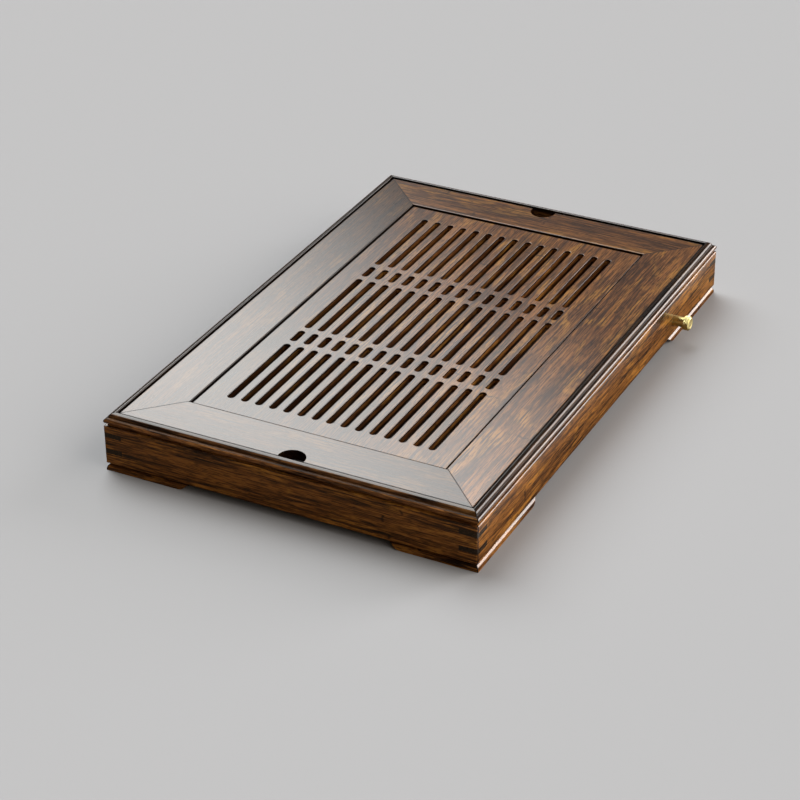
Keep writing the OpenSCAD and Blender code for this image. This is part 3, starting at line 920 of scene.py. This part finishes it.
def drain_cap(brass):
    """The cap: a turned body, a rimmed end face, and straight ridges set round it by Geometry Nodes."""
    inner, outer = cap_high.y, cap_low.y
    outline = [(CAP_BORE, inner), (CAP_BODY - CAP_CHAMFER, inner), (CAP_BODY, inner - CAP_CHAMFER)]
    outline += [(CAP_BODY - inside, outer + deep) for inside, deep in CAP_FACE]
    outline += [(AXIS_RADIUS, outer + CAP_FACE_DEPTH), (AXIS_RADIUS, outer + CAP_END)]
    outline += [(CAP_BORE, outer + CAP_END)]
    piece = turned("knurled_cap", outline)
    tree, start, end = new_group("ridges", [("Finish", "NodeSocketMaterial")])
    bar = {"Vertices": RIDGE_SIDES, "Radius": RIDGE_RADIUS, "Depth": RIDGE_LENGTH}
    ridge = add(tree, "GeometryNodeMeshCylinder", bar)
    circle = {"Vertices": RIDGES, "Radius": CAP_OUTER - RIDGE_RADIUS}
    ring = add(tree, "GeometryNodeMeshCircle", circle)
    set_out = {"Points": ring.outputs[0], "Instance": ridge.outputs[0]}
    ridges = add(tree, "GeometryNodeInstanceOnPoints", set_out)
    centre = (DRAIN.x, (inner + outer) / 2 + RIDGE_SHIFT, DRAIN.z)
    placing = {"Geometry": ridges.outputs[0], "Translation": centre, "Rotation": ALONG_DRAIN}
    placed = add(tree, "GeometryNodeTransform", placing)
    end_group(tree, start, end, [placed.outputs[0]])
    settle(piece, tree, {"Finish": brass})
    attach(piece, "cap")
    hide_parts("drain_cap")


def drain_spigot(brass):
    """The spigot: a flange inside, a bare neck outside, and a thread wound by Geometry Nodes."""
    inner, outer = neck_high.y, neck_low.y
    neck_end = cap_high.y + NECK_CLEARANCE
    flange_end = inner - FLANGE_THICKNESS
    narrower, back = THREAD_CHAMFER
    outline = [
        (SPIGOT_BORE, inner),
        (FLANGE_OUTER - FLANGE_CHAMFER, inner), (FLANGE_OUTER, inner - FLANGE_CHAMFER),
        (FLANGE_OUTER, flange_end), (NECK_OUTER, flange_end),
        (NECK_OUTER, neck_end + NECK_CHAMFER), (NECK_OUTER - NECK_CHAMFER, neck_end),
        (THREAD_ROOT, neck_end), (THREAD_ROOT, outer + back),
        (THREAD_ROOT - narrower, outer), (SPIGOT_BORE, outer),
    ]
    piece = turned("threaded_spigot", outline)
    tree, start, end = new_group("thread", [("Finish", "NodeSocketMaterial")])
    length = neck_end - outer - THREAD_ENDS
    middle = (THREAD_ROOT + THREAD_CREST) / 2 - THREAD_SINK
    spiral = {
        "Resolution": THREAD_STEPS, "Rotations": length / THREAD_PITCH,
        "Start Radius": middle, "End Radius": middle, "Height": length,
    }
    helix = add(tree, "GeometryNodeCurveSpiral", spiral)
    ridge = {"Resolution": 3, "Radius": THREAD_SIZE}
    section = add(tree, "GeometryNodeCurvePrimitiveCircle", ridge)
    tube = {"Curve": helix.outputs[0], "Profile Curve": section.outputs[0], "Fill Caps": True}
    thread = add(tree, "GeometryNodeCurveToMesh", tube)
    start_point = (DRAIN.x, neck_end - THREAD_ENDS / 2, DRAIN.z)
    placing = {"Geometry": thread.outputs[0], "Translation": start_point, "Rotation": ALONG_DRAIN}
    placed = add(tree, "GeometryNodeTransform", placing)
    end_group(tree, start, end, [placed.outputs[0]])
    settle(piece, tree, {"Finish": brass})
    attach(piece, "root")
    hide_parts("drain_spigot")


# The tray's pieces
paint_frames()
base_wood = lacquered_wood(
    "base_board_wood", 0, INSIDE_TONES, gold=INSIDE_GOLD, lacquer=INSIDE_LACQUER)
paint("base_board", base_wood)
paint("corner_splines", lacquered_wood("spline_wood", 0, SPLINE_TONES, gold=KEY_GOLD))
key_wood = lacquered_wood("key_wood", 0, KEY_TONES, gold=KEY_GOLD, lacquer=INSIDE_LACQUER)
paint("lid_corner_keys", key_wood)
rubber = seal_rubber()
for rubber_node in ("spigot_washer", "cap_gasket"):
    paint(rubber_node, rubber)
panel_wood = lacquered_wood(
    "panel_wood", 0, LID_TONES, PANEL_PLACE, LID_GOLD,
    outer=(LID_HALF_LENGTH, LID_HALF_WIDTH), shade_bands=PANEL_PAINTED_LIGHT_AND_SHADE, far_corner_shade=PANEL_PAINTED_SHADE, mitred=False)
slotted_panel(panel_wood)
make_rims()
make_feet()
brass = satin_brass()
drain_cap(brass)
drain_spigot(brass)


# Floor
FLOOR_SIZE = 10.0
FLOOR_SEEN = (0.399, 0.409, 0.427, 1)
FLOOR_DARK = (0.13, 0.09, 0.06, 1)
FLOOR_PALE = (0.76, 0.73, 0.71, 1)
FLOOR_CHANGE = (0.014, 0.036)
FLOOR_ROUGHNESS = 0.8


def pale_floor():
    """A plain pale floor, which gives light back to the drain's side only, from a little way off."""
    mesh = bpy.data.meshes.new("floor")
    half = FLOOR_SIZE / 2
    corners = [(-half, -half, 0), (half, -half, 0), (half, half, 0), (-half, half, 0)]
    mesh.from_pydata(corners, [], [(0, 1, 2, 3)])
    floor = link(bpy.data.objects.new("floor", mesh))
    made, tree, shader = new_material("floor_paint")
    coords = add(tree, "ShaderNodeTexCoord").outputs["Object"]
    parts = add(tree, "ShaderNodeSeparateXYZ", {0: coords}).outputs
    # Painted shade and light for reflected and bounced rays only: the floor is dark up to 14 mm in
    # front of the drain's side and pale beyond 36 mm
    clear = maths(tree, "SUBTRACT", wall_low.y, parts[1])
    bounced = blend(tree, smooth_step(tree, clear, *FLOOR_CHANGE), FLOOR_DARK, FLOOR_PALE)
    seen = add(tree, "ShaderNodeLightPath").outputs["Is Camera Ray"]
    put(tree, shader.inputs["Base Color"], blend(tree, seen, bounced, FLOOR_SEEN))
    shader.inputs["Roughness"].default_value = FLOOR_ROUGHNESS
    shader.inputs["Specular IOR Level"].default_value = 0.0
    mesh.materials.append(made)


# Light: a large softbox behind, a narrow upright one beyond the drain, two fills and a dim room
def from_angles(heading, elevation):
    """Unit vector from a heading, in degrees from +X towards +Y, and an elevation."""
    h, e = math.radians(heading), math.radians(elevation)
    return Vector((math.cos(h) * math.cos(e), math.sin(h) * math.cos(e), math.sin(e)))


LAMPS = (
    # Heading, elevation, radius, half the soft edge, colour
    (53.5, 47.3, 27, 4, (5.5, 5.5, 5.4)),
    (-40, 2, 11, 3, (9.0, 8.5, 8.3)),
    (-36, 12, 11, 3, (9.0, 8.5, 8.3)),
    (-31, 22, 11, 3, (9.0, 8.5, 8.3)),
    (-85, 32, 32, 14, (2.2, 2.0, 1.8)),
    (205, 18, 30, 14, (0.20, 0.16, 0.12)),
)
ROOM = (0.022, 0.020, 0.018, 1)
SKY_SEEN = (0.56, 0.56, 0.56, 1)


def studio_world():
    """The lamps as soft discs on the sky, which the camera itself sees plain grey."""
    world = bpy.data.worlds.new("studio")
    bpy.context.scene.world = world
    world.use_nodes = True
    tree = world.node_tree
    tree.nodes.clear()
    direction = add(tree, "ShaderNodeTexCoord").outputs["Generated"]
    light = ROOM
    for heading, elevation, radius, edge, colour in LAMPS:
        towards = from_angles(heading, elevation)
        facing = add(tree, "ShaderNodeVectorMath", {0: direction, 1: towards}, operation="DOT_PRODUCT")
        low, high = (math.cos(math.radians(radius + part)) for part in (edge, -edge))
        share = smooth_step(tree, facing.outputs["Value"], low, high)
        lamp = blend(tree, share, (0, 0, 0, 1), (*colour, 1))
        light = blend(tree, 1.0, light, lamp, "LIGHTEN")
    seen = add(tree, "ShaderNodeLightPath").outputs["Is Camera Ray"]
    shown = blend(tree, seen, light, SKY_SEEN)
    background = add(tree, "ShaderNodeBackground", {"Color": shown, "Strength": 1.0})
    add(tree, "ShaderNodeOutputWorld", {"Surface": background.outputs[0]})


# Camera: the photograph's own view of the tray
LENS = 111.32
SENSOR = 36.0
CLIP = (0.05, 50.0)
CAMERA_PLACE = (-1.43102, -0.70327, 0.92460)
CAMERA_TOWARDS = Vector((0.765657, 0.392715, -0.509455))
CAMERA_ROLL = -0.494


def camera():
    """A long lens, a little above and to the left of the drain's side."""
    data = bpy.data.cameras.new("camera")
    data.lens = LENS
    data.sensor_width = SENSOR
    data.clip_start, data.clip_end = CLIP
    made = link(bpy.data.objects.new("camera", data))
    made.location = CAMERA_PLACE
    roll = Quaternion((0, 0, 1), math.radians(CAMERA_ROLL))
    made.rotation_mode = "QUATERNION"
    made.rotation_quaternion = CAMERA_TOWARDS.to_track_quat("-Z", "Y") @ roll
    bpy.context.scene.camera = made


pale_floor()
studio_world()
camera()
bpy.context.scene.view_settings.view_transform = "Standard"
